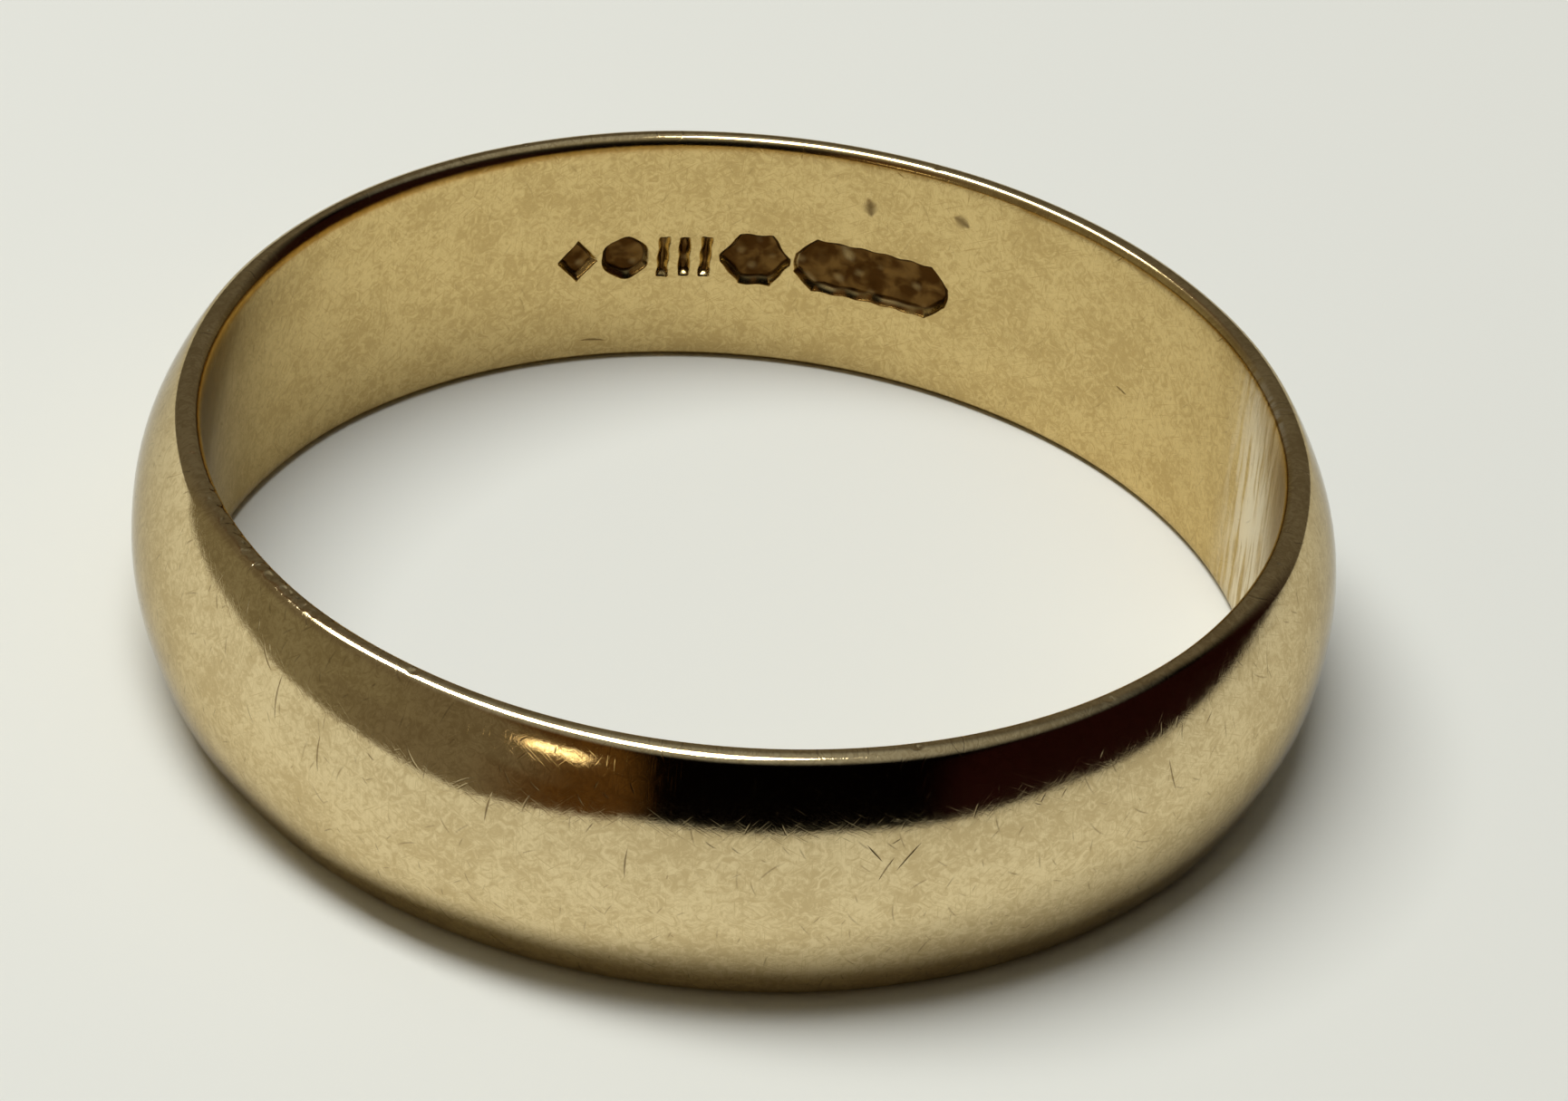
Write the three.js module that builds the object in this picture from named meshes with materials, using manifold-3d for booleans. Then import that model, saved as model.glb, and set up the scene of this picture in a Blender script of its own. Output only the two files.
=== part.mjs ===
// A wedding band of 9 ct yellow gold, lying flat on one edge.
//
// It is made the way a bench jeweller makes one: a length of D-section strip is bent round until its ends meet,
// and the ends are joined with a thin leaf of hard solder. So the object is two solids, the shank and the seam.
// A row of small punch marks is struck into the inner wall.
//
// Frame: millimetres, +Z along the finger, origin on the surface that the band lies on, at the bore's centre.
// The punch marks are round about +Y, and the solder seam is a little round from +X.

import * as THREE from "three";
import { mergeVertices } from "three/addons/utils/BufferGeometryUtils.js";
import Module from "manifold-3d";

// Driving dimensions
const BAND_WIDTH = 5.0; // along the finger
const BORE_RADIUS = 9.65; // the finger size
const CROWN_WALL = 1.2; // wall thickness at mid width
const EDGE_WALL = 0.4; // wall thickness at the edges, before they are rounded
const INNER_EDGE_RADIUS = 0.14; // rounding between the bore and an edge
const OUTER_EDGE_RADIUS = 0.3; // rounding between an edge and the dome
const SEAM_WIDTH = 0.08; // thickness of the leaf of solder
const SEAM_ANGLE = 11.25; // degrees from +X, on a join between two facets
const MARK_DEPTH = 0.12; // how far the punches go into the wall
const MARK_HEIGHT_ON_BAND = 2.35; // centre line of the row of marks, above the lower edge

// Fineness of the facets
const RING_STEPS = 96;
const DOME_STEPS = 14;
const EDGE_STEPS = 3;

const MIDDLE = BAND_WIDTH / 2;
const CROWN_RADIUS = BORE_RADIUS + CROWN_WALL;

// The dome is one arc, through the crown and the two outer corners.
const DOME_RISE = CROWN_WALL - EDGE_WALL;
const DOME_RADIUS = (MIDDLE ** 2 + DOME_RISE ** 2) / (2 * DOME_RISE);
const DOME_CENTRE = CROWN_RADIUS - DOME_RADIUS;

const wasm = await Module();
wasm.setup();

function toSolid(geometry) {
  const bare = geometry.clone();
  bare.deleteAttribute("normal");
  bare.deleteAttribute("uv");
  const merged = mergeVertices(bare, 1e-4);
  return new wasm.Manifold(
    new wasm.Mesh({
      numProp: 3,
      vertProperties: merged.attributes.position.array,
      triVerts: new Uint32Array(merged.index.array),
    }),
  );
}

function toGeometry(solid) {
  const mesh = solid.getMesh();
  const geometry = new THREE.BufferGeometry();
  geometry.setAttribute("position", new THREE.BufferAttribute(mesh.vertProperties, 3));
  geometry.setIndex(new THREE.BufferAttribute(mesh.triVerts, 1));
  geometry.computeVertexNormals();
  return geometry;
}

// Points of an arc in the (radius, height) plane.
function arc(centreRadius, centreHeight, radius, from, to, steps) {
  return Array.from({ length: steps + 1 }, (_, i) => {
    const angle = from + ((to - from) * i) / steps;
    return new THREE.Vector2(
      centreRadius + radius * Math.cos(angle),
      centreHeight + radius * Math.sin(angle),
    );
  });
}

// The upper half of the D section, from the crown round the edge and down the bore, and then its mirror image.
function sectionPoints() {
  // The outer rounding touches the dome and the edge, so its centre is one radius inside both.
  const roundHeight = BAND_WIDTH - OUTER_EDGE_RADIUS;
  const roundReach = DOME_RADIUS - OUTER_EDGE_RADIUS;
  const roundAngle = Math.asin((roundHeight - MIDDLE) / roundReach);
  const roundCentre = DOME_CENTRE + roundReach * Math.cos(roundAngle);
  const innerCentre = BORE_RADIUS + INNER_EDGE_RADIUS;

  const upper = [
    ...arc(DOME_CENTRE, MIDDLE, DOME_RADIUS, 0, roundAngle, DOME_STEPS / 2),
    ...arc(roundCentre, roundHeight, OUTER_EDGE_RADIUS, roundAngle, Math.PI / 2, EDGE_STEPS).slice(1),
    ...arc(
      innerCentre,
      BAND_WIDTH - INNER_EDGE_RADIUS,
      INNER_EDGE_RADIUS,
      Math.PI / 2,
      Math.PI,
      EDGE_STEPS,
    ),
  ];
  const lower = upper.slice(1).reverse().map((p) => new THREE.Vector2(p.x, BAND_WIDTH - p.y));
  return [...upper, ...lower];
}

// The whole ring, before it is parted at the seam. LatheGeometry turns about +Y, so it is stood up to +Z.
function ringSolid() {
  const outline = sectionPoints();
  outline.push(outline[0].clone());
  const lathe = new THREE.LatheGeometry(outline, RING_STEPS);
  lathe.rotateX(Math.PI / 2);
  return toSolid(lathe);
}

// A slab across the wall, as thick as the solder.
function seamSlab() {
  const slab = new THREE.BoxGeometry(4 * CROWN_WALL, SEAM_WIDTH, 2 * BAND_WIDTH);
  slab.translate(BORE_RADIUS + CROWN_WALL / 2, 0, MIDDLE);
  slab.rotateZ(THREE.MathUtils.degToRad(SEAM_ANGLE));
  return toSolid(slab);
}

// Outlines of the punches, each centred on its own middle.
function polygon(points) {
  return new THREE.Shape(points.map(([x, y]) => new THREE.Vector2(x, y)));
}

function lozenge(width, height) {
  return polygon([
    [width / 2, 0],
    [0, height / 2],
    [-width / 2, 0],
    [0, -height / 2],
  ]);
}

function bar(width, height) {
  return polygon([
    [width / 2, -height / 2],
    [width / 2, height / 2],
    [-width / 2, height / 2],
    [-width / 2, -height / 2],
  ]);
}

function disc(diameter) {
  return new THREE.Shape().absarc(0, 0, diameter / 2, 0, 2 * Math.PI);
}

// A bar whose four corners are cut off; a deep cut makes a hexagon.
function clippedBar(width, height, cutAlong, cutUp) {
  const x = width / 2;
  const y = height / 2;
  const points = [
    [x, -y + cutUp],
    [x, y - cutUp],
    [x - cutAlong, y],
    [-x + cutAlong, y],
    [-x, y - cutUp],
    [-x, -y + cutUp],
    [-x + cutAlong, -y],
    [x - cutAlong, -y],
  ];
  return polygon(points);
}

// The row of marks, in order of rising angle about +Z; middle is the angle of each mark in degrees.
const TALLY_WIDTH = 0.2;
const TALLY_PITCH = 0.42;
const degreesAlongBore = (length) => THREE.MathUtils.radToDeg(length / BORE_RADIUS);
const marks = [
  { middle: 77.0, outline: clippedBar(3.1, 1.15, 0.4, 0.38) },
  { middle: 90.7, outline: clippedBar(1.35, 1.1, 0.36, 0.5) },
  ...[-1, 0, 1].map((i) => ({
    middle: 98.9 + i * degreesAlongBore(TALLY_PITCH),
    outline: bar(TALLY_WIDTH, 0.86),
  })),
  { middle: 105.8, outline: disc(0.9) },
  { middle: 111.5, outline: lozenge(0.8, 0.88) },
];

// A punch points straight outwards, from inside the bore to well inside the wall.
function punchSolid({ middle, outline }) {
  const reach = 1.0;
  const punch = new THREE.ExtrudeGeometry(outline, {
    depth: reach,
    bevelEnabled: false,
    curveSegments: 12,
  });
  const angle = THREE.MathUtils.degToRad(middle);
  const outwards = new THREE.Vector3(Math.cos(angle), Math.sin(angle), 0);
  const up = new THREE.Vector3(0, 0, 1);
  const along = new THREE.Vector3().crossVectors(up, outwards);
  const place = new THREE.Matrix4().makeBasis(along, up, outwards);
  const start = outwards.clone().multiplyScalar(BORE_RADIUS - reach / 2);
  place.setPosition(start.x, start.y, MARK_HEIGHT_ON_BAND);
  return toSolid(punch.applyMatrix4(place));
}

// All the marks go in to the same depth, so their floors lie on one cylinder.
function marksSolid() {
  const floor = new THREE.CylinderGeometry(
    BORE_RADIUS + MARK_DEPTH,
    BORE_RADIUS + MARK_DEPTH,
    BAND_WIDTH,
    RING_STEPS,
  );
  floor.rotateX(Math.PI / 2);
  floor.translate(0, 0, MIDDLE);
  const punches = marks.map(punchSolid).reduce((all, punch) => all.add(punch));
  return punches.intersect(toSolid(floor));
}

const gold = new THREE.MeshStandardMaterial({ color: 0xc9ae72, roughness: 0.25, metalness: 1 });
const solder = new THREE.MeshStandardMaterial({ color: 0xd2c08c, roughness: 0.3, metalness: 1 });

const ring = ringSolid().subtract(marksSolid());
const slab = seamSlab();

const shank = new THREE.Mesh(toGeometry(ring.subtract(slab)), gold);
shank.name = "shank";

const seam = new THREE.Mesh(toGeometry(ring.intersect(slab)), solder);
seam.name = "solder_seam";

const weddingBand = new THREE.Group();
weddingBand.add(shank, seam);

export default weddingBand;
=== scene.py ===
# %% [markdown]
# # A worn gold wedding band
# This band is a strip of D-section gold, bent round and soldered. It is flat inside, where it meets the finger,
# and gently domed outside. Years of wear have left a soft shine with fine scratches, and the row of small
# punch marks inside has gone brown. The exact solids come first, as a frame: everything made here is measured
# from them, in metres, with +Z along the finger and the band lying flat on the floor.

# %% The frame
import math
import random
from math import cos, pi, radians, sin

import bpy
import numpy as np
from mathutils import Matrix, Vector


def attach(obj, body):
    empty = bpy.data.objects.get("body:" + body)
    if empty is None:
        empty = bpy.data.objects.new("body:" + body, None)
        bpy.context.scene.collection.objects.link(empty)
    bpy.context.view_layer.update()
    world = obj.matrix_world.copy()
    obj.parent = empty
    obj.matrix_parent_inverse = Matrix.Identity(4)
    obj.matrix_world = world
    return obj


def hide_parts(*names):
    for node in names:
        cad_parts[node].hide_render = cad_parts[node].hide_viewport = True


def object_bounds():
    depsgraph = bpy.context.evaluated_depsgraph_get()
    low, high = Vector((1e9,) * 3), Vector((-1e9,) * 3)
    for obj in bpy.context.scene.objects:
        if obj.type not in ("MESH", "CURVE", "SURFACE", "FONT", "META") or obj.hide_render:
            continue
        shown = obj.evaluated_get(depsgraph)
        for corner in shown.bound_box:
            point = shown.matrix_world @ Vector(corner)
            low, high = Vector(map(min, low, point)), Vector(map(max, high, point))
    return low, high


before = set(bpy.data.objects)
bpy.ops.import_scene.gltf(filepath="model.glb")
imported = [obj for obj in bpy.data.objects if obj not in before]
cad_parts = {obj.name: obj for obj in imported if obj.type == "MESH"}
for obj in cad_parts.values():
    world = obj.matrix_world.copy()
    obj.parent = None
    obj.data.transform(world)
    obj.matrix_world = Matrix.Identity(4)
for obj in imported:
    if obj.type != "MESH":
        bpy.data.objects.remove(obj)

FRAME_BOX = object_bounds()
MM = 0.001
CLOSE = 0.01 * MM  # two places nearer than this count as the same
print("frame box in mm:", [[round(c / MM, 3) for c in corner] for corner in FRAME_BOX])

# %% [markdown]
# ## Sizes
# Only a few sizes make a band: its width, the bore, the wall at the crown and at the edges, and how much the
# edges are rounded. The crown's radius and the width are read from the frame, so that the two models agree.

# %% Sizes of the band
low, high = FRAME_BOX
BAND_WIDTH = high.z - low.z
CROWN_RADIUS = high.x
CROWN_WALL = 1.2 * MM
BORE_RADIUS = CROWN_RADIUS - CROWN_WALL
EDGE_WALL = 0.40 * MM
MIDDLE = BAND_WIDTH / 2

dome_rise = CROWN_WALL - EDGE_WALL
DOME_RADIUS = (MIDDLE**2 + dome_rise**2) / (2 * dome_rise)
DOME_CENTRE = CROWN_RADIUS - DOME_RADIUS

SEAM_ANGLE = radians(11.25)
SEAM_WIDTH = 0.08 * MM
seam_turn = SEAM_WIDTH / (BORE_RADIUS + CROWN_WALL / 2)
print(f"bore {2 * BORE_RADIUS / MM:.2f} mm, dome radius {DOME_RADIUS / MM:.2f} mm")


# %% Helpers for working in edit mode
def deselect_all():
    """Leaves object mode with nothing selected."""
    if bpy.context.object and bpy.context.object.mode != "OBJECT":
        bpy.ops.object.mode_set(mode="OBJECT")
    bpy.ops.object.select_all(action="DESELECT")


def name_piece(name):
    """Names the piece just made, and puts its place and turn into its mesh."""
    piece = bpy.context.object
    piece.name = name
    piece.data.name = name
    bpy.ops.object.transform_apply(location=True, rotation=True, scale=True)
    return piece


def edit(piece, select_mode="VERT"):
    """Opens a piece in edit mode with nothing selected."""
    deselect_all()
    piece.select_set(True)
    bpy.context.view_layer.objects.active = piece
    bpy.ops.object.mode_set(mode="EDIT")
    bpy.ops.mesh.select_mode(type=select_mode)
    bpy.ops.mesh.select_all(action="DESELECT")


def choose(piece, kind, wanted):
    """Selects the vertices, edges or faces for which wanted(item) is true. Edit mode stays open."""
    bpy.ops.object.mode_set(mode="OBJECT")
    items = getattr(piece.data, kind)
    for item in items:
        item.select = bool(wanted(item))
    bpy.ops.object.mode_set(mode="EDIT")
    return sum(item.select for item in items)


def points_of(piece):
    """The piece's points as rows of x, y, z."""
    flat = np.empty(len(piece.data.vertices) * 3)
    piece.data.vertices.foreach_get("co", flat)
    return flat.reshape(-1, 3)


def set_points(piece, points):
    piece.data.vertices.foreach_set("co", np.ascontiguousarray(points).ravel())
    piece.data.update()


# %% [markdown]
# ## The D section
# On the bench the strip comes out of rolls with a D-shaped groove. Here its end is drawn with a pencil that
# leaves a line: one point, spun about the centre of each curve in turn and pushed along each flat. Every curve
# starts in the direction in which the one before it ends, so the outline has no kink. It could also be cut out
# of a disc, but then the small roundings would fight with the dome's short sides.

# %% Centres of the curves
OUTER_ROUNDING = 0.36 * MM
INNER_ROUNDING = 0.17 * MM
reach = DOME_RADIUS - OUTER_ROUNDING
dome_half_angle = math.asin((MIDDLE - OUTER_ROUNDING) / reach)
nose_centre = DOME_CENTRE + reach * cos(dome_half_angle)
inner_centre = BORE_RADIUS + INNER_ROUNDING
DOME_ROWS, NOSE_ROWS, INNER_ROWS, BORE_ROWS = 38, 10, 7, 30
print(f"the dome turns {2 * math.degrees(dome_half_angle):.1f} degrees from edge to edge")


# %% The pencil
def start_pencil(x, z):
    """One loose point, selected, in edit mode."""
    deselect_all()
    bpy.ops.mesh.primitive_plane_add(size=MM, location=(x, 0, z))
    piece = name_piece("band")
    edit(piece)
    bpy.ops.mesh.select_all(action="SELECT")
    bpy.ops.mesh.merge(type="CENTER")
    return piece


def curve_about(x, z, angle, steps):
    """Draws on, round a centre; a positive angle turns from +X towards +Z."""
    bpy.ops.mesh.spin(steps=steps, angle=angle, center=(x, 0, z), axis=(0, 1, 0))


def straight(dx, dz, steps=1):
    for _ in range(steps):
        step = (dx / steps, 0, dz / steps)
        bpy.ops.mesh.extrude_vertices_move(TRANSFORM_OT_translate={"value": step})


# %% Draw the D
end_turn = pi / 2 - dome_half_angle
bore_length = BAND_WIDTH - 2 * INNER_ROUNDING
band = start_pencil(
    DOME_CENTRE + DOME_RADIUS * cos(dome_half_angle),
    MIDDLE - DOME_RADIUS * sin(dome_half_angle),
)
curve_about(DOME_CENTRE, MIDDLE, 2 * dome_half_angle, DOME_ROWS)
curve_about(nose_centre, BAND_WIDTH - OUTER_ROUNDING, end_turn, NOSE_ROWS)
straight(inner_centre - nose_centre, 0)
curve_about(inner_centre, BAND_WIDTH - INNER_ROUNDING, pi / 2, INNER_ROWS)
straight(0, -bore_length, BORE_ROWS)
curve_about(inner_centre, INNER_ROUNDING, pi / 2, INNER_ROWS)
straight(nose_centre - inner_centre, 0)
curve_about(nose_centre, OUTER_ROUNDING, end_turn, NOSE_ROWS)
bpy.ops.mesh.select_all(action="SELECT")
bpy.ops.mesh.remove_doubles(threshold=0.002 * MM)
bpy.ops.object.mode_set(mode="OBJECT")
outline = points_of(band)
print(len(outline), "points in the outline")
print("from", (outline.min(0) / MM).round(3), "to", (outline.max(0) / MM).round(3), "mm")

# %% [markdown]
# ## Bend the strip round
# A jeweller bends the strip on a mandrel until its two ends meet. Spin does that to the D: it carries the
# outline round the finger's axis and leaves a wall behind it. It stops a hair short of the whole turn, and a
# second copy of the D fills that gap as the leaf of solder. One full turn would be quicker, but the join is a
# real piece of a real band, and the gold beside it should be able to look a little different.

# %% Spin the D into the shank and the leaf of solder
TURNS = 480


def turn_about_finger(piece, angle):
    piece.rotation_euler.z = angle
    deselect_all()
    piece.select_set(True)
    bpy.context.view_layer.objects.active = piece
    bpy.ops.object.transform_apply(location=True, rotation=True, scale=True)


def spin_about_finger(piece, angle, steps):
    """Spins the outline round the finger and closes both ends with a flat D."""
    edit(piece, "EDGE")
    bpy.ops.mesh.select_all(action="SELECT")
    bpy.ops.mesh.spin(steps=steps, angle=-angle, center=(0, 0, 0), axis=(0, 0, 1))
    bpy.ops.mesh.select_all(action="DESELECT")
    bpy.ops.mesh.select_non_manifold()
    bpy.ops.mesh.mark_sharp()
    bpy.ops.mesh.edge_face_add()
    bpy.ops.mesh.select_all(action="SELECT")
    bpy.ops.mesh.normals_make_consistent(inside=False)
    bpy.ops.object.mode_set(mode="OBJECT")


deselect_all()
band.select_set(True)
bpy.context.view_layer.objects.active = band
bpy.ops.object.duplicate()
leaf = bpy.context.object
leaf.name = leaf.data.name = "leaf_of_solder"

turn_about_finger(band, SEAM_ANGLE + seam_turn / 2)
spin_about_finger(band, 2 * pi - seam_turn, TURNS)
turn_about_finger(leaf, SEAM_ANGLE - seam_turn / 2)
spin_about_finger(leaf, seam_turn, 2)
for piece in (band, leaf):
    where = points_of(piece)
    turns = np.degrees(np.arctan2(where[:, 1], where[:, 0]))
    first, last = turns.min().round(2), turns.max().round(2)
    print(piece.name, len(piece.data.polygons), "faces, from", first, "to", last, "degrees")

# %% [markdown]
# ## The row of punch marks
# Each mark is one blow of a steel punch: a flat floor about a tenth of a millimetre down, steep walls, and a
# faint lip where the metal was pushed aside. Only that stretch of the bore is divided finely, so the rest of
# the band stays light. Cutting the shapes with booleans would leave knife edges and no lip, so the points are
# moved outwards by a depth worked out from how far each one lies inside or outside of its mark.

# %% Divide the stretch of bore that takes the marks
MARK_HEIGHT = 2.35 * MM
MARK_DEPTH = 0.12 * MM
MARK_REACH = 0.8 * MM  # how far above and below its middle the row takes up room
LIP_HEIGHT = 0.010 * MM
FIRST_TURN, LAST_TURN = radians(66.5), radians(115.0)


def takes_marks(face):
    c = face.center
    on_bore = abs(math.hypot(c.x, c.y) - BORE_RADIUS) < CLOSE
    return on_bore and FIRST_TURN < math.atan2(c.y, c.x) < LAST_TURN and abs(c.z - MARK_HEIGHT) < MARK_REACH


edit(band, "FACE")
print("faces that take marks:", choose(band, "polygons", takes_marks))
bpy.ops.mesh.subdivide(number_cuts=5)
bpy.ops.object.mode_set(mode="OBJECT")


# %% How far a point lies outside of each shape
def outside_bar(x, y, width, height):
    dx, dy = abs(x) - width / 2, abs(y) - height / 2
    return np.hypot(np.maximum(dx, 0), np.maximum(dy, 0)) + np.minimum(np.maximum(dx, dy), 0)


def outside_clipped_bar(x, y, width, height, cut_along, cut_up):
    slope = math.hypot(cut_along, cut_up)
    over = (abs(x) - width / 2 + cut_along) * cut_up + (abs(y) - height / 2) * cut_along
    return np.maximum(outside_bar(x, y, width, height), over / slope)


def outside_disc(x, y, diameter):
    return np.hypot(x, y) - diameter / 2


def outside_lozenge(x, y, width, height):
    return (abs(x) * height + abs(y) * width - width * height / 2) / math.hypot(width, height)


MIDDLE_BAR, BAR_GAP = 98.9, 2.49  # where the three bars stand, in degrees

# The row in order of rising turn about +Z. Each mark: turn and tilt in degrees, shape, and sizes in mm.
MARKS = [
    (77.0, 1.5, outside_clipped_bar, (3.1, 1.15, 0.4, 0.38)),
    (90.7, -1.0, outside_clipped_bar, (1.35, 1.1, 0.36, 0.5)),
    (MIDDLE_BAR - BAR_GAP, 2.0, outside_bar, (0.2, 0.86)),
    (MIDDLE_BAR, -1.0, outside_bar, (0.2, 0.82)),
    (MIDDLE_BAR + BAR_GAP, 1.0, outside_bar, (0.2, 0.86)),
    (105.8, 0.0, outside_disc, (0.9,)),
    (111.5, 0.0, outside_lozenge, (0.8, 0.88)),
]
print(len(MARKS), "marks")


# %% Strike the marks
def smooth_step(value, start, end):
    t = np.clip((value - start) / (end - start), 0, 1)
    return t * t * (3 - 2 * t)


points = points_of(band)
turn = np.arctan2(points[:, 1], points[:, 0])
radius = np.hypot(points[:, 0], points[:, 1])
on_bore = (abs(radius - BORE_RADIUS) < CLOSE) & (abs(turn - radians(90)) < radians(30))
along = turn[on_bore] * BORE_RADIUS / MM
up = (points[on_bore, 2] - MARK_HEIGHT) / MM

struck = np.zeros(along.size)
lip = np.zeros(along.size)
for middle, tilt, shape, size in MARKS:
    x, y = along - radians(middle) * BORE_RADIUS / MM, up
    c, s = cos(radians(tilt)), sin(radians(tilt))
    x, y = x * c + y * s, y * c - x * s
    # Hand-struck edges wander by a hundredth of a millimetre or two.
    outside = shape(x, y, *size)
    outside = outside + 0.012 * np.sin(13 * x + middle) + 0.010 * np.sin(17 * y - middle)
    # The wall on the lower side slopes more, so that it catches the light.
    lower_half = np.clip(-y / 0.45, 0, 1) * (size[0] > 0.3)
    depth = 1 - smooth_step(outside, -0.09 - 0.09 * lower_half, 0.03)
    # The floor is uneven too, by slow waves that no two marks share.
    along_wave = np.sin(5.3 * x + 2.0 * middle + 2 * np.sin(4 * y))
    up_wave = np.sin(6.3 * y + middle + np.sin(3.1 * x))
    uneven = 0.16 * along_wave * up_wave
    uneven += 0.09 * np.sin(11 * x - 8 * y + middle)
    struck = np.maximum(struck, depth * (1 + uneven))
    lip = np.maximum(lip, np.exp(-(((outside - 0.035) / 0.03) ** 2)) * (outside > -0.02))

moved = BORE_RADIUS + MARK_DEPTH * struck - LIP_HEIGHT * lip
points[on_bore, 0] = moved * np.cos(turn[on_bore])
points[on_bore, 1] = moved * np.sin(turn[on_bore])
set_points(band, points)
print("deepest mark in mm:", (MARK_DEPTH * struck.max() / MM).round(3))

# %% [markdown]
# ## Wear in the metal itself
# A band that has been worn for years is never a perfect turning. The polisher's hand leaves it very slightly
# uneven, hard things dent it, the upper edge has nicks, and the finger has eased the edge of the bore, more on
# one side than on the other. These are real shapes, so they go into the mesh: a reflection shows a slope of
# half a degree. The rim is divided once more first, so that it has points enough to hold a nick.

# %% Divide the upper rim along its length
RIM_BOTTOM = BAND_WIDTH - 0.3 * MM
RIM_OUTSIDE = BORE_RADIUS + 0.45 * MM
LEVEL = 0.001 * MM


def runs_along_rim(e):
    a, b = (band.data.vertices[i].co for i in e.vertices)
    reach_a, reach_b = math.hypot(a.x, a.y), math.hypot(b.x, b.y)
    on_rim = min(a.z, b.z) > RIM_BOTTOM and reach_a < RIM_OUTSIDE
    return on_rim and abs(a.z - b.z) < LEVEL and abs(reach_a - reach_b) < LEVEL


edit(band, "EDGE")
print("rim edges divided:", choose(band, "edges", runs_along_rim))
bpy.ops.mesh.subdivide(number_cuts=2)
bpy.ops.object.mode_set(mode="OBJECT")

# %% Press the wear in
luck = random.Random(5)
DENT_REACH = 10.85
DENTED_WALL = 10.75  # how far from the axis the dents' middles lie, in mm
SLOW_WAVES = [
    (luck.uniform(0.9, 2.2), luck.uniform(-1.6, 1.6), luck.uniform(0, 2 * pi), luck.uniform(0.0015, 0.0035))
    for _ in range(9)
]
DENTS = [
    (luck.uniform(-DENT_REACH, DENT_REACH), luck.uniform(-DENT_REACH, DENT_REACH), luck.uniform(0.5, 4.5))
    for _ in range(90)
]
DENT_SIZES = [(luck.uniform(0.12, 0.38), luck.uniform(0.0015, 0.0055)) for _ in DENTS]

# Nicks: turn in degrees, distance from the axis and size in mm. Most of them are crowded into one stretch.
RIM_NICKS = [
    (-121.0, 9.93, 0.050),
    (-70.5, 9.90, 0.060),
    (-49.0, 9.90, 0.045),
    (-18.0, 9.93, 0.045),
    (24.0, 9.93, 0.050),
    (71.0, 9.86, 0.050),
    (118.0, 9.93, 0.050),
    (163.0, 9.90, 0.050),
    (173.0, 9.86, 0.045),
    (196.0, 9.93, 0.050),
    (187.0, 9.84, 0.045),
]
RIM_NICKS += [
    (luck.uniform(-158, -132), luck.uniform(9.80, 9.93), luck.uniform(0.045, 0.075)) for _ in range(46)
]
print(len(SLOW_WAVES), "slow waves,", len(DENTS), "dents,", len(RIM_NICKS), "nicks in the rim")


def wear(piece):
    """Moves the piece's points by the slow waves, the dents, the eased bore and the nicks, in mm."""
    p = points_of(piece) / MM
    turn, radius = np.arctan2(p[:, 1], p[:, 0]), np.hypot(p[:, 0], p[:, 1])
    middle, bore = MIDDLE / MM, BORE_RADIUS / MM
    outside = smooth_step(radius, bore + 0.25, bore + 0.6)
    change = np.zeros(len(p))
    for round_waves, up_waves, start, height in SLOW_WAVES:
        lobes = round(round_waves * bore)
        change += height * np.sin(lobes * turn + up_waves * p[:, 2] + start)
    change *= 0.35 + 0.65 * outside
    for (x, y, z), (size, depth) in zip(DENTS, DENT_SIZES):
        reach = math.hypot(x, y) or 1.0
        dent_x, dent_y = x / reach * DENTED_WALL, y / reach * DENTED_WALL
        near = (p[:, 0] - dent_x) ** 2 + (p[:, 1] - dent_y) ** 2 + (p[:, 2] - z) ** 2
        change -= depth * np.exp(-near / size**2) * outside
    near_edge = smooth_step(abs(p[:, 2] - middle), middle - 0.45, middle)
    from_edge = near_edge * (1 - smooth_step(radius, bore + 0.1, bore + 0.3))
    change += from_edge**2 * (0.025 + 0.055 * (1 - np.cos(turn)) / 2)
    p[:, 0] += change * np.cos(turn)
    p[:, 1] += change * np.sin(turn)
    for degrees_round, reach, size in RIM_NICKS:
        a = radians(degrees_round)
        near = (p[:, 0] - reach * cos(a)) ** 2 + (p[:, 1] - reach * sin(a)) ** 2 + (p[:, 2] - 2 * middle) ** 2
        p[:, 2] -= 0.5 * size * np.exp(-near / size**2)
    p[:, 2] = np.clip(p[:, 2], 0, BAND_WIDTH / MM)
    set_points(piece, p * MM)
    return change


for piece in (band, leaf):
    change = wear(piece)
    print(f"{piece.name}: points moved by {change.min():.3f} to {change.max():.3f} mm")

# %% Keep how deep each point was struck, so that the finish can go brown there
for piece in (band, leaf):
    p = points_of(piece)
    near_marks = (abs(p[:, 2] - MARK_HEIGHT) < MARK_REACH) & (p[:, 1] > 3 * MM) & (abs(p[:, 0]) < 6 * MM)
    depth = (np.hypot(p[:, 0], p[:, 1]) - BORE_RADIUS) / MARK_DEPTH
    values = np.where(near_marks & (depth < 1.6), np.clip(depth, 0, 1), 0)
    layer = piece.data.attributes.new("struck", "FLOAT", "POINT")
    layer.data.foreach_set("value", values)
    print(piece.name, "points in a mark:", int((values > 0.5).sum()))

# %% Smooth the shading
for piece in (band, leaf):
    deselect_all()
    piece.select_set(True)
    bpy.context.view_layer.objects.active = piece
    bpy.ops.object.shade_smooth()
    piece.data.calc_loop_triangles()
    print(piece.name, len(piece.data.loop_triangles), "triangles")

# %% [markdown]
# ## Finishes
# Gold is all reflection: what it shows is the room, tinted. So the finish is a plain metal with an even tint,
# and everything else is slight: hairlines, scratches, cloudy patches where the polish has gone, and brown
# tarnish in the marks. It could be painted on as an image, but nodes stay sharp from any distance. Each kind
# of wear is a node group of its own, and the helpers below keep the node lines short.

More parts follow.
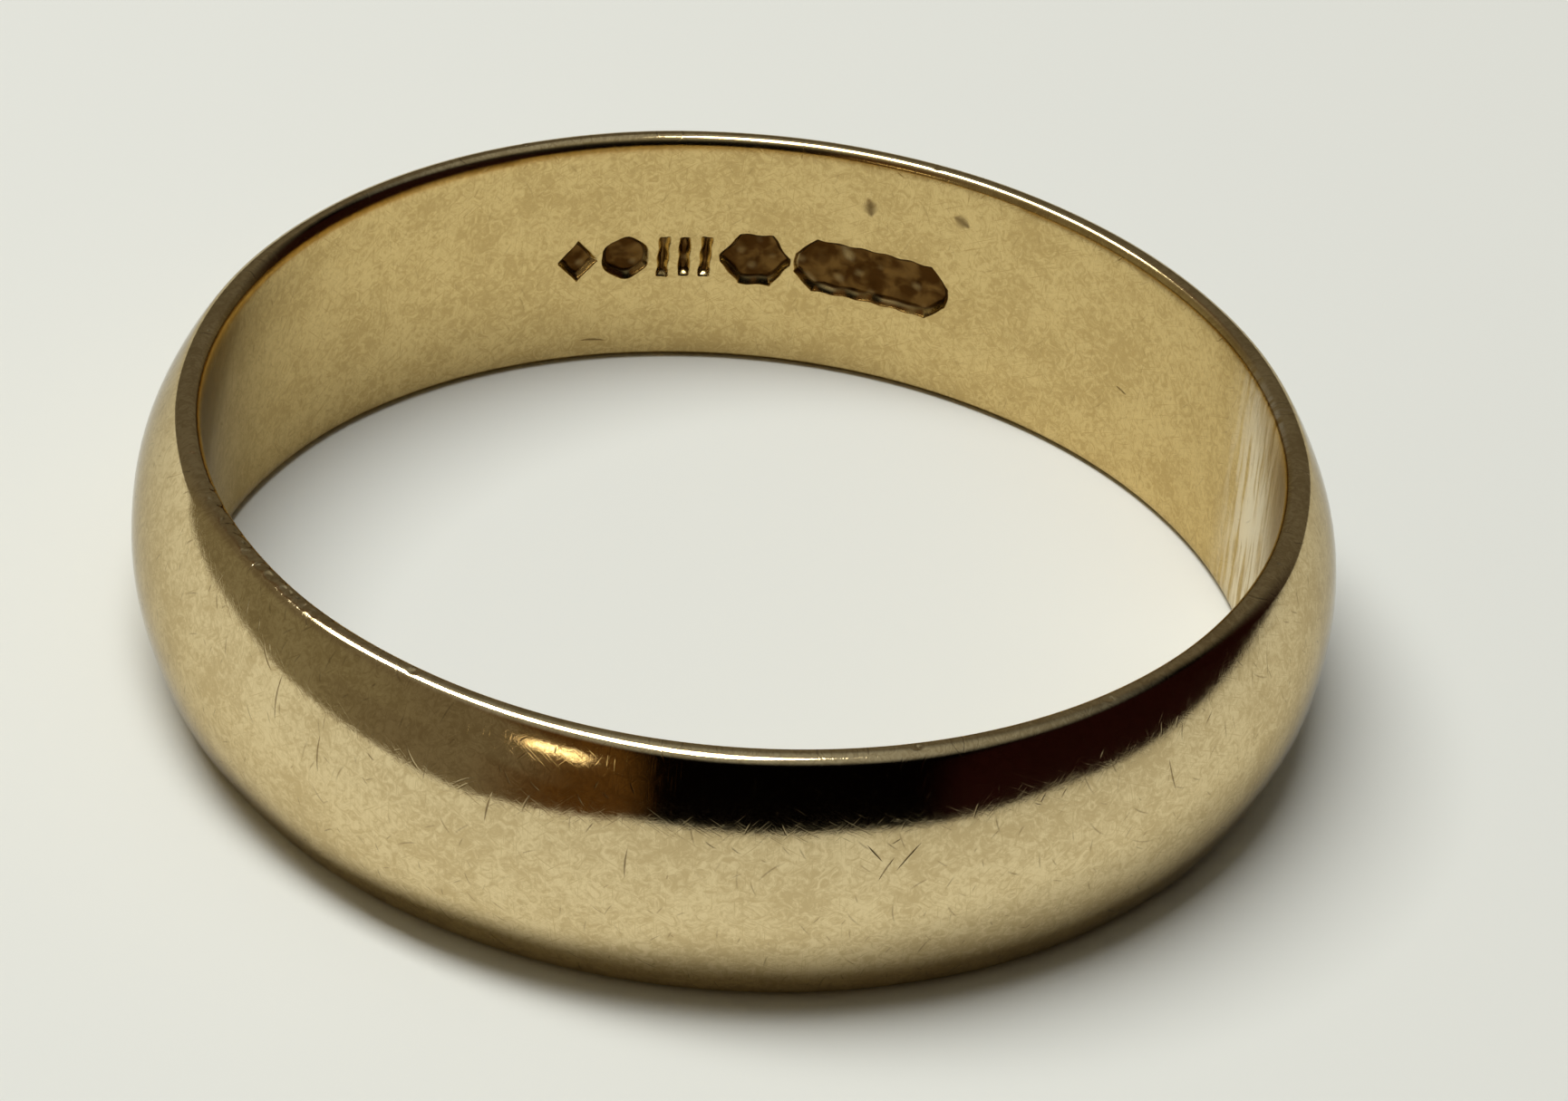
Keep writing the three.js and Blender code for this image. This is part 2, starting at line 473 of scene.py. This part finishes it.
# %% Helpers for node groups
def node_group(name, inputs, outputs):
    """An empty node group with named sockets, and its input and output nodes."""
    group = bpy.data.node_groups.new(name, "ShaderNodeTree")
    for direction, sockets in (("INPUT", inputs), ("OUTPUT", outputs)):
        for socket_name, kind in sockets:
            group.interface.new_socket(socket_name, in_out=direction, socket_type="NodeSocket" + kind)
    return group, group.nodes.new("NodeGroupInput"), group.nodes.new("NodeGroupOutput")


def node(tree, kind, settings=None, **inputs):
    """Adds a node. An input is a number, a colour or another node's output; i0 is the first input."""
    made = tree.nodes.new("ShaderNode" + kind)
    for key, value in (settings or {}).items():
        setattr(made, key, value)
    for key, value in inputs.items():
        numbered = key[0] == "i" and key[1:].isdigit()
        socket = made.inputs[int(key[1:])] if numbered else made.inputs[key.replace("_", " ")]
        if isinstance(value, bpy.types.NodeSocket):
            tree.links.new(value, socket)
        else:
            socket.default_value = value
    return made


def calc(tree, operation, a, b=0.0, clamp=False):
    return node(tree, "Math", {"operation": operation, "use_clamp": clamp}, i0=a, i1=b).outputs[0]


def blend(tree, amount, first, second, how="MIX"):
    """Two colours mixed by an amount from 0 to 1."""
    settings = {"data_type": "RGBA", "blend_type": how}
    return node(tree, "Mix", settings, i0=amount, i6=first, i7=second).outputs[2]


def turn_about_z(tree, vector, angle, invert=False):
    settings = {"rotation_type": "Z_AXIS", "invert": invert}
    return node(tree, "VectorRotate", settings, Vector=vector, Angle=angle).outputs[0]


def split(tree, vector):
    return node(tree, "SeparateXYZ", Vector=vector).outputs


def fade(tree, value, start, end, low=0.0, high=1.0):
    """A smooth step from low to high as the value goes from start to end."""
    settings = {"interpolation_type": "SMOOTHSTEP"}
    made = node(tree, "MapRange", settings, Value=value, From_Min=start, From_Max=end, To_Min=low, To_Max=high)
    return made.outputs["Result"]


def use_group(tree, group, **inputs):
    made = tree.nodes.new("ShaderNodeGroup")
    made.node_tree = group
    for key, value in inputs.items():
        socket = made.inputs[key.replace("_", " ")]
        if isinstance(value, bpy.types.NodeSocket):
            tree.links.new(value, socket)
        else:
            socket.default_value = value
    return made.outputs


# %% [markdown]
# ## The strip's own directions
# Wear follows the strip, not the room. So a place on the band is given as how far round it is, how high and how
# far from the finger's axis, in millimetres. A UV map could hold the same, but it would have to be kept in
# step with every cut in the mesh.

# %% Along, up and out
def make_strip_directions():
    tree, given, out = node_group("strip directions", [("Place", "Vector")], [("Along", "Vector")])
    # The angle jumps opposite to +X, so the place is turned first, to bring that jump to the solder.
    parts = split(tree, turn_about_z(tree, given.outputs[0], pi - SEAM_ANGLE))
    angle = calc(tree, "ARCTAN2", parts["Y"], parts["X"])
    x_squared = calc(tree, "MULTIPLY", parts["X"], parts["X"])
    y_squared = calc(tree, "MULTIPLY", parts["Y"], parts["Y"])
    squared = calc(tree, "ADD", x_squared, y_squared)
    along = calc(tree, "MULTIPLY", angle, (BORE_RADIUS + CROWN_WALL / 2) / MM)
    up = calc(tree, "DIVIDE", parts["Z"], MM)
    out_from_axis = calc(tree, "DIVIDE", calc(tree, "SQRT", squared), MM)
    joined = node(tree, "CombineXYZ", X=along, Y=up, Z=out_from_axis)
    tree.links.new(joined.outputs[0], out.inputs[0])
    return tree


STRIP_DIRECTIONS = make_strip_directions()
print(STRIP_DIRECTIONS.name, "takes", len(STRIP_DIRECTIONS.nodes), "nodes")

# %% [markdown]
# ## Hairlines
# Cloth and skin polish a band as much as they scratch it, and leave hairlines too fine to see one by one. They
# could be drawn singly, but there are thousands. A cloud pattern, stretched until it is all thin lines of one
# direction, gives the same sheen.

# %% Hairlines of one direction
def make_hairlines():
    sockets = [("Along", "Vector"), ("Direction", "Float"), ("Length", "Float"), ("Width", "Float")]
    sockets += [("Sparseness", "Float")]
    tree, given, out = node_group("hairlines", sockets, [("Line", "Float")])
    get = given.outputs
    parts = split(tree, turn_about_z(tree, get["Along"], get["Direction"]))
    long_way = calc(tree, "DIVIDE", parts["X"], get["Length"])
    short_way = calc(tree, "DIVIDE", parts["Y"], get["Width"])
    place = node(tree, "CombineXYZ", X=long_way, Y=short_way, Z=calc(tree, "MULTIPLY", parts["Z"], 3.7))
    cloud = node(tree, "TexNoise", Vector=place.outputs[0], Scale=1.0, Detail=1.0, Roughness=0.5)
    line = fade(tree, cloud.outputs["Fac"], get["Sparseness"], 1.0)
    tree.links.new(calc(tree, "MULTIPLY", line, 3.0, clamp=True), out.inputs[0])
    return tree


HAIRLINES = make_hairlines()
print(HAIRLINES.name, "takes", len(HAIRLINES.nodes), "nodes")

# %% [markdown]
# ## Scratches
# A scratch that shows is one knock against something hard: deepest in its middle, tapered at its ends and a
# little bent. The few longest are placed one by one. The many small ones are left to chance, with a cell
# pattern that shares out the surface and gives each cell its own direction and length.

# %% One longer scratch at a chosen place
def make_scratch():
    sockets = [("Along", "Vector"), ("Centre", "Vector"), ("Direction", "Float"), ("Length", "Float")]
    sockets += [("Width", "Float")]
    tree, given, out = node_group("scratch", sockets, [("Line", "Float")])
    get = given.outputs
    moved = node(tree, "VectorMath", {"operation": "SUBTRACT"}, i0=get["Along"], i1=get["Centre"])
    parts = split(tree, turn_about_z(tree, moved.outputs[0], get["Direction"], invert=True))
    along = calc(tree, "DIVIDE", calc(tree, "ABSOLUTE", parts["X"]), get["Length"])
    squared = calc(tree, "MULTIPLY", parts["X"], parts["X"])
    bent = calc(tree, "ADD", parts["Y"], calc(tree, "MULTIPLY", squared, 0.22))
    thickness = calc(tree, "MULTIPLY", fade(tree, along, 0.05, 0.5, 1.0, 0.15), get["Width"])
    across = calc(tree, "DIVIDE", calc(tree, "ABSOLUTE", bent), thickness)
    ends = fade(tree, along, 0.3, 0.5, 1.0, 0.0)
    sides = fade(tree, across, 0.0, 0.5, 1.0, 0.0)
    same_wall = fade(tree, calc(tree, "ABSOLUTE", parts["Z"]), 0.45, 0.55, 1.0, 0.0)
    line = calc(tree, "MULTIPLY", calc(tree, "MULTIPLY", ends, sides), same_wall)
    tree.links.new(line, out.inputs[0])
    return tree


SCRATCH = make_scratch()
print(SCRATCH.name, "takes", len(SCRATCH.nodes), "nodes")


# %% Many small scratches, at most one to a cell
def make_small_scratches():
    sockets = [("Along", "Vector"), ("Scale", "Float"), ("Length", "Float"), ("Width", "Float")]
    tree, given, out = node_group("small scratches", sockets, [("Line", "Float")])
    get = given.outputs
    flat = {"voronoi_dimensions": "2D"}
    cell = node(tree, "TexVoronoi", flat, Vector=get["Along"], Scale=get["Scale"]).outputs
    chance = node(tree, "SeparateColor", Color=cell["Color"]).outputs
    moved = node(tree, "VectorMath", {"operation": "SUBTRACT"}, i0=get["Along"], i1=cell["Position"])
    direction = calc(tree, "ADD", calc(tree, "MULTIPLY", chance["Red"], 2.2), 0.5)
    parts = split(tree, turn_about_z(tree, moved.outputs[0], direction, invert=True))
    length = calc(tree, "MULTIPLY", get["Length"], calc(tree, "ADD", chance["Green"], 0.3))
    along = calc(tree, "DIVIDE", calc(tree, "ABSOLUTE", parts["X"]), length)
    squared = calc(tree, "MULTIPLY", parts["X"], parts["X"])
    bent = calc(tree, "ADD", parts["Y"], calc(tree, "MULTIPLY", squared, 0.5))
    across = calc(tree, "DIVIDE", calc(tree, "ABSOLUTE", bent), get["Width"])
    ends = fade(tree, along, 0.1, 0.5, 1.0, 0.0)
    sides = fade(tree, across, 0.0, 0.5, 1.0, 0.0)
    line = calc(tree, "MULTIPLY", ends, sides)
    present = fade(tree, chance["Blue"], 0.35, 0.75)
    tree.links.new(calc(tree, "MULTIPLY", line, present), out.inputs[0])
    return tree


SMALL_SCRATCHES = make_small_scratches()
print(SMALL_SCRATCHES.name, "takes", len(SMALL_SCRATCHES.nodes), "nodes")

# %% Where the longer scratches are
# Each one: turn in degrees, height in mm, direction in degrees, length and width in mm.
OUTER_SCRATCHES = [
    (-134, 3.6, 95, 0.95, 0.056),
    (-128, 3.1, 95, 0.80, 0.060),
    (-110, 3.5, 85, 0.60, 0.060),
    (-97, 3.1, 90, 0.70, 0.052),
    (-75, 3.5, -50, 0.44, 0.046),
    (-74, 3.2, 60, 0.54, 0.050),
    (-72, 3.4, 50, 0.66, 0.050),
    (-44, 3.5, 100, 0.74, 0.056),
    (88, 3.1, 120, 0.90, 0.041),
]
BORE_SCRATCHES = [
    (43, 2.1, 10, 0.34, 0.075),
    (78, 3.9, 75, 0.48, 0.44),
    (67, 4.1, 20, 0.46, 0.38),
    (109, 0.5, 5, 0.62, 0.09),
]
OUTER_WALL, BORE_WALL = 10.5, BORE_RADIUS / MM  # which wall a scratch is on, by its distance from the axis
print(len(OUTER_SCRATCHES), "longer scratches outside,", len(BORE_SCRATCHES), "inside")

# %% [markdown]
# ## The worn gold
# All the wear meets in one group, which the gold and the solder share, along with pale streaks of painted
# highlight in the bore. It gives out only masks and a height: how dull, how cloudy, how brown, and where the
# painted highlight goes. Each metal then chooses its own colours for them. The bore is duller and yellower than
# the outside, where cloth and tables keep on polishing it.

# %% How the wear is put together
def wrap(turn_degrees):
    """How far along the strip a turn about +Z is, in mm, with the jump at the solder."""
    turned = (turn_degrees + 180 - math.degrees(SEAM_ANGLE) + 180) % 360 - 180
    return radians(turned) * (BORE_RADIUS + CROWN_WALL / 2) / MM


def strongest(tree, values):
    most = values[0]
    for value in values[1:]:
        most = calc(tree, "MAXIMUM", most, value)
    return most


# Hairlines: direction in radians, length and width in mm, and sparseness. Small scratches: cells to a mm,
# length and width in mm.
HAIRLINE_SETS = [(0.5, 0.7, 0.020, 0.58), (1.5, 0.6, 0.018, 0.58), (2.4, 0.6, 0.020, 0.60)]
SMALL_SCRATCH_SETS = [(1.2, 0.55, 0.048), (2.4, 0.32, 0.037)]


def cloud_pattern(tree, place, **inputs):
    return node(tree, "TexNoise", Vector=place, **inputs).outputs["Fac"]


def make_gold_wear_and_painted_highlight():
    given_out = ("Height", "Haze", "Cloud", "Bore", "Tarnish", "Patch", "Painted highlight")
    outputs = [(name, "Float") for name in given_out]
    tree, given, out = node_group("gold wear and painted highlight", [("Place", "Vector"), ("Struck", "Float")], outputs)
    along = use_group(tree, STRIP_DIRECTIONS, Place=given.outputs["Place"])["Along"]
    parts = split(tree, along)
    bore = fade(tree, parts["Z"], 9.72, 9.80, 1.0, 0.0)

    fine = []
    for direction, length, width, sparseness in HAIRLINE_SETS:
        sizes = {"Direction": direction, "Length": length, "Width": width, "Sparseness": sparseness}
        fine.append(use_group(tree, HAIRLINES, Along=along, **sizes)["Line"])
    fine = strongest(tree, fine)
    deep = []
    for wall, scratches in ((OUTER_WALL, OUTER_SCRATCHES), (BORE_WALL, BORE_SCRATCHES)):
        for turn_at, height, direction, length, width in scratches:
            centre = (wrap(turn_at), height, wall)
            sizes = {"Direction": radians(direction), "Length": length, "Width": width}
            deep.append(use_group(tree, SCRATCH, Along=along, Centre=centre, **sizes)["Line"])
    deep = strongest(tree, deep)
    small_ones = []
    for scale, length, width in SMALL_SCRATCH_SETS:
        made = use_group(tree, SMALL_SCRATCHES, Along=along, Scale=scale, Length=length, Width=width)
        small_ones.append(made["Line"])
    small_ones = strongest(tree, small_ones)

    broad = cloud_pattern(tree, along, Scale=0.9, Detail=3.0, Roughness=0.6)
    small = cloud_pattern(tree, along, Scale=4.5, Detail=4.0, Roughness=0.75, Distortion=1.6)
    cloud = calc(tree, "ADD", calc(tree, "MULTIPLY", broad, 0.3), calc(tree, "MULTIPLY", small, 0.7))
    cloud = fade(tree, cloud, 0.40, 0.60)
    cloud = calc(tree, "MAXIMUM", calc(tree, "MULTIPLY", cloud, 0.8), calc(tree, "MULTIPLY", fine, 0.9))
    pebble = calc(tree, "MULTIPLY", small, 0.0012)
    height = calc(tree, "SUBTRACT", pebble, calc(tree, "MULTIPLY", fine, 0.00025))
    height = calc(tree, "SUBTRACT", height, calc(tree, "MULTIPLY", small_ones, 0.0012))
    height = calc(tree, "SUBTRACT", height, calc(tree, "MULTIPLY", deep, 0.005))
    haze = calc(tree, "ADD", calc(tree, "MULTIPLY", fine, 0.5), calc(tree, "MULTIPLY", cloud, 0.5))
    tarnish = fade(tree, given.outputs["Struck"], 0.45, 0.9)
    patch = cloud_pattern(tree, along, Scale=2.6, Detail=2.0, Roughness=0.5, Distortion=0.4)
    patch = fade(tree, patch, 0.40, 0.68)
    # Painted highlight: pale streaks along the finger in the bore beside the solder, a lighter colour that stands
    # in for reflected light.
    narrow = calc(tree, "MULTIPLY", parts["X"], 5.0)
    tall = calc(tree, "MULTIPLY", parts["Y"], 0.6)
    streak_place = node(tree, "CombineXYZ", X=narrow, Y=tall)
    streaks = fade(tree, cloud_pattern(tree, streak_place.outputs[0], Scale=1.0, Detail=3.0), 0.36, 0.56)
    near_seam = fade(tree, calc(tree, "ABSOLUTE", parts["X"]), 29.9, 32.0)
    pale = calc(tree, "MULTIPLY", calc(tree, "MULTIPLY", streaks, near_seam), bore)
    tarnish = calc(tree, "MAXIMUM", tarnish, calc(tree, "MULTIPLY", deep, 0.7))
    on_outside = calc(tree, "SUBTRACT", 0.42, calc(tree, "MULTIPLY", bore, 0.22))
    tarnish = calc(tree, "MAXIMUM", tarnish, calc(tree, "MULTIPLY", small_ones, on_outside))
    for name, value in zip(given_out, (height, haze, cloud, bore, tarnish, patch, pale)):
        tree.links.new(value, out.inputs[name])
    return tree


GOLD_WEAR_AND_PAINTED_HIGHLIGHT = make_gold_wear_and_painted_highlight()
print(GOLD_WEAR_AND_PAINTED_HIGHLIGHT.name, "takes", len(GOLD_WEAR_AND_PAINTED_HIGHLIGHT.nodes), "nodes")

# %% The two metals
BORE_TINT = (0.88, 0.82, 0.63, 1)
PAINTED_HIGHLIGHT_STREAKS = (0.98, 0.88, 0.66, 1)
DARK_GRIME = (0.060, 0.025, 0.005, 1)
LIGHT_GRIME = (0.155, 0.082, 0.022, 1)
GLANCING_TINT = (0.62, 0.60, 0.56, 1)


def make_gold(name, bright, cloudy, roughness):
    """A worn polished metal: bright is its tint where it is clean, cloudy where it has dulled."""
    material = bpy.data.materials.new(name)
    material.use_nodes = True
    tree = material.node_tree
    shader = tree.nodes["Principled BSDF"]
    place = node(tree, "TexCoord").outputs["Object"]
    struck_here = node(tree, "Attribute", {"attribute_name": "struck"}).outputs["Fac"]
    wear = use_group(tree, GOLD_WEAR_AND_PAINTED_HIGHLIGHT, Place=place, Struck=struck_here)
    tint = blend(tree, wear["Cloud"], bright, cloudy)
    deeper = blend(tree, wear["Bore"], tint, BORE_TINT, "MULTIPLY")
    # Painted highlight: the bore's pale streaks beside the solder are mixed in here.
    deeper = blend(tree, wear["Painted highlight"], deeper, PAINTED_HIGHLIGHT_STREAKS)
    grime = blend(tree, wear["Patch"], DARK_GRIME, LIGHT_GRIME)
    colour = blend(tree, wear["Tarnish"], deeper, grime)
    tree.links.new(colour, shader.inputs["Base Color"])
    shader.inputs["Specular Tint"].default_value = GLANCING_TINT
    polish = calc(tree, "ADD", calc(tree, "MULTIPLY", wear["Haze"], 0.06), roughness)
    dull = calc(tree, "ADD", polish, calc(tree, "MULTIPLY", wear["Bore"], 0.10))
    rough = calc(tree, "ADD", dull, calc(tree, "MULTIPLY", wear["Tarnish"], 0.25))
    tree.links.new(rough, shader.inputs["Roughness"])
    shader.inputs["Metallic"].default_value = 1.0
    bump = node(tree, "Bump", Height=wear["Height"], Strength=1.0, Distance=MM)
    tree.links.new(bump.outputs[0], shader.inputs["Normal"])
    return material


GOLD = make_gold("worn yellow gold", (0.80, 0.65, 0.375, 1), (0.56, 0.425, 0.215, 1), 0.07)
SOLDER = make_gold("gold solder", (0.80, 0.665, 0.42, 1), (0.61, 0.48, 0.27, 1), 0.10)
for piece, finish in ((band, GOLD), (leaf, SOLDER)):
    piece.data.materials.clear()
    piece.data.materials.append(finish)
    print(piece.name, "is", finish.name)

# %% [markdown]
# ## Floor and room
# The band lies on a plain pale sheet. A polished band needs something to reflect: the pale sheet makes the wide
# tan stretch round its middle, and the walls of the room, dark in front and on the right and brown on the left,
# give its shoulder its depth. Real walls would do, but colours by direction are lighter to work out. The camera
# sees the room as plain and pale.

# %% The floor
PAPER_COLOUR = (0.80, 0.815, 0.77, 1)
deselect_all()
bpy.ops.mesh.primitive_plane_add(size=3.0, location=(0, 0, 0))
floor = name_piece("floor")
paper = bpy.data.materials.new("pale paper")
paper.use_nodes = True
paper_shader = paper.node_tree.nodes["Principled BSDF"]
paper_shader.inputs["Base Color"].default_value = PAPER_COLOUR
paper_shader.inputs["Roughness"].default_value = 0.7
paper_shader.inputs["Specular IOR Level"].default_value = 0.2
floor.data.materials.append(paper)
print(floor.name, "is", round(floor.dimensions.x, 2), "m across")

# %% The room
BROWN = (0.165, 0.138, 0.094, 1)
RED_BROWN = (0.085, 0.040, 0.010, 1)
DARK_RED = (0.012, 0.0028, 0.0025, 1)
LIGHT_BROWN = (0.225, 0.20, 0.135, 1)
NEARLY_BLACK = (0.0006, 0.0003, 0.0002, 1)
BACK_WALL = (0.13, 0.115, 0.09, 1)
CEILING = (0.31, 0.31, 0.295, 1)
PALE = (0.76, 0.77, 0.70, 1)


def side_walls(tree, sideways):
    """Black in front, very dark red on the right, and red-brown, brown and light brown to the left."""
    dark = blend(tree, fade(tree, sideways, 0.57, 0.73), NEARLY_BLACK, DARK_RED)
    colour = blend(tree, fade(tree, sideways, -0.16, -0.30), dark, RED_BROWN)
    colour = blend(tree, fade(tree, sideways, -0.40, -0.62), colour, BROWN)
    return blend(tree, fade(tree, sideways, -0.75, -0.97), colour, LIGHT_BROWN)


def make_room():
    room = bpy.data.worlds.new("room")
    bpy.context.scene.world = room
    room.use_nodes = True
    tree = room.node_tree
    background = tree.nodes["Background"]
    direction = node(tree, "TexCoord").outputs["Generated"]
    parts = split(tree, direction)
    walls = blend(tree, fade(tree, parts["Y"], 0.40, 0.72), side_walls(tree, parts["X"]), BACK_WALL)
    reflected = blend(tree, fade(tree, parts["Z"], 0.72, 0.95), walls, CEILING)
    in_view = node(tree, "LightPath").outputs["Is Camera Ray"]
    tree.links.new(blend(tree, in_view, reflected, PALE), background.inputs["Color"])
    print("the room takes", len(tree.nodes), "nodes")


make_room()

# %% [markdown]
# ## A card beside the band
# The shoulder shows a brown band with a clear lower edge, as it does when something low stands on the sheet
# close by. So a low card bends round the band's left front. It glows by its own light in the colours of the walls
# behind it, and no lamp lights it. The walls alone can't draw that edge, because they are endlessly far off. The
# card is switched off for the camera, for shadows and for scattered light, and shows only in reflections, as a
# painted reflection.

# %% The card
CARD_CORNER = (-20, -28)  # where it turns away from the band, in mm
CARD_END = (-27, -92)
CARD_HEIGHT = 9 * MM


def card_foot(back):
    """A point of the card's foot, so many mm to the left of its corner: it bends away from the band."""
    return CARD_CORNER[0] - back, CARD_CORNER[1] + 0.25 * back + 0.010 * back**2


foot = [card_foot(back) for back in range(72, -1, -12)] + [CARD_END]
deselect_all()
bpy.ops.mesh.primitive_plane_add(size=MM, location=(foot[0][0] * MM, foot[0][1] * MM, 0.05 * MM))
card = name_piece("brown card")
edit(card)
bpy.ops.mesh.select_all(action="SELECT")
bpy.ops.mesh.merge(type="CENTER")
for (x, y), (next_x, next_y) in zip(foot, foot[1:]):
    step = ((next_x - x) * MM, (next_y - y) * MM, 0)
    bpy.ops.mesh.extrude_vertices_move(TRANSFORM_OT_translate={"value": step})
bpy.ops.mesh.select_all(action="SELECT")
bpy.ops.mesh.extrude_edges_move(TRANSFORM_OT_translate={"value": (0, 0, CARD_HEIGHT)})
bpy.ops.object.mode_set(mode="OBJECT")
print("card:", len(card.data.vertices), "points,", len(card.data.polygons), "faces")

# %% The card's own glow
card_glow = bpy.data.materials.new("brown card")
card_glow.use_nodes = True
card_glow_shader = card_glow.node_tree.nodes["Principled BSDF"]
card_glow_shader.inputs["Base Color"].default_value = (0, 0, 0, 1)
card_glow_shader.inputs["Specular IOR Level"].default_value = 0.0
# The card has no colour of its own: it glows with the walls' colours, and no lamp lights it.
card_glow_shader.inputs["Emission Strength"].default_value = 1.0
place = node(card_glow.node_tree, "TexCoord").outputs["Object"]
outwards = node(card_glow.node_tree, "VectorMath", {"operation": "NORMALIZE"}, i0=place).outputs[0]
sideways = split(card_glow.node_tree, outwards)["X"]
card_glow.node_tree.links.new(side_walls(card_glow.node_tree, sideways), card_glow_shader.inputs["Emission Color"])
card.data.materials.append(card_glow)
card.visible_camera = card.visible_diffuse = card.visible_shadow = False
print(card_glow.name, "takes", len(card_glow.node_tree.nodes), "nodes")

# %% [markdown]
# ## The lamps
# A long soft strip overhead on the left makes the thin line of light along the upper edge, and casts the shadow
# in front and on the right. A round lamp would make that line shorter. A small warm lamp, low in front on the
# left, adds the one glint in the brown of the shoulder.

# %% Hang the lamps
def add_lamp(name, place, towards, size, power, colour=(1, 1, 1), turned=0.0):
    """A flat rectangular lamp that faces a point, turned about its own middle by an angle in degrees."""
    light = bpy.data.lights.new(name, "AREA")
    light.shape = "RECTANGLE"
    light.size, light.size_y = size
    light.energy = power
    light.color = colour
    lamp = bpy.data.objects.new(name, light)
    bpy.context.scene.collection.objects.link(lamp)
    lamp.location = place
    facing = (Vector(place) - Vector(towards)).to_track_quat("Z", "Y").to_matrix()
    lamp.rotation_euler = (facing @ Matrix.Rotation(radians(turned), 3, "Z")).to_euler()
    print(name, "gives", power, "W")


STRIP_PLACE, STRIP_AIM = (-0.12, 0.03, 0.40), (-0.12, 0.03, 0)
WARM_PLACE, BAND_PLACE = (-0.134, -0.245, 0.112), (0, 0, 0)
add_lamp("strip lamp above", STRIP_PLACE, STRIP_AIM, (0.38, 0.11), 1.62, (1.0, 1.0, 0.985), -31.5)
add_lamp("small warm lamp", WARM_PLACE, BAND_PLACE, (0.050, 0.012), 0.009, (1.0, 0.84, 0.55))

# %% [markdown]
# ## Camera
# The camera looks down at the band from about 36 degrees, close enough for its back edge to look smaller, and
# a little tilted, as a camera held in the hand is. From further off, with a longer lens, the back edge and the
# front edge would look nearly the same size.

# %% Place the camera
CAMERA_RISE = radians(35.596)
CAMERA_DISTANCE = 104.80 * MM
CAMERA_LENS = 131.41
AIM_SIDEWAYS, AIM_UP, AIM_ROLL = radians(-0.4964), radians(0.9992), radians(5.284)
back_to_camera = Vector((0, -cos(CAMERA_RISE), sin(CAMERA_RISE)))
looking = back_to_camera.to_track_quat("Z", "Y").to_matrix()
aim = Matrix.Rotation(AIM_SIDEWAYS, 3, "Y") @ Matrix.Rotation(AIM_UP, 3, "X")
aim = aim @ Matrix.Rotation(AIM_ROLL, 3, "Z")
camera = bpy.data.objects.new("camera", bpy.data.cameras.new("camera"))
bpy.context.scene.collection.objects.link(camera)
camera.matrix_world = Matrix.Translation(back_to_camera * CAMERA_DISTANCE) @ (looking @ aim).to_4x4()
camera.data.sensor_width = 36.0
camera.data.lens = CAMERA_LENS
camera.data.clip_start = 5 * MM
camera.data.clip_end = 10.0
bpy.context.scene.camera = camera
bpy.context.scene.view_settings.view_transform = "Standard"
print("camera at", [round(c / MM, 1) for c in camera.location], "mm")

# %% [markdown]
# ## Hand over
# Each piece stands for its exact solid and rides on the band's one body, because nothing on a band moves.

# %% Hand the pieces over
for piece, solid, finish in ((band, "shank", "gold"), (leaf, "solder_seam", "solder")):
    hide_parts(solid)
    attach(piece, "root")
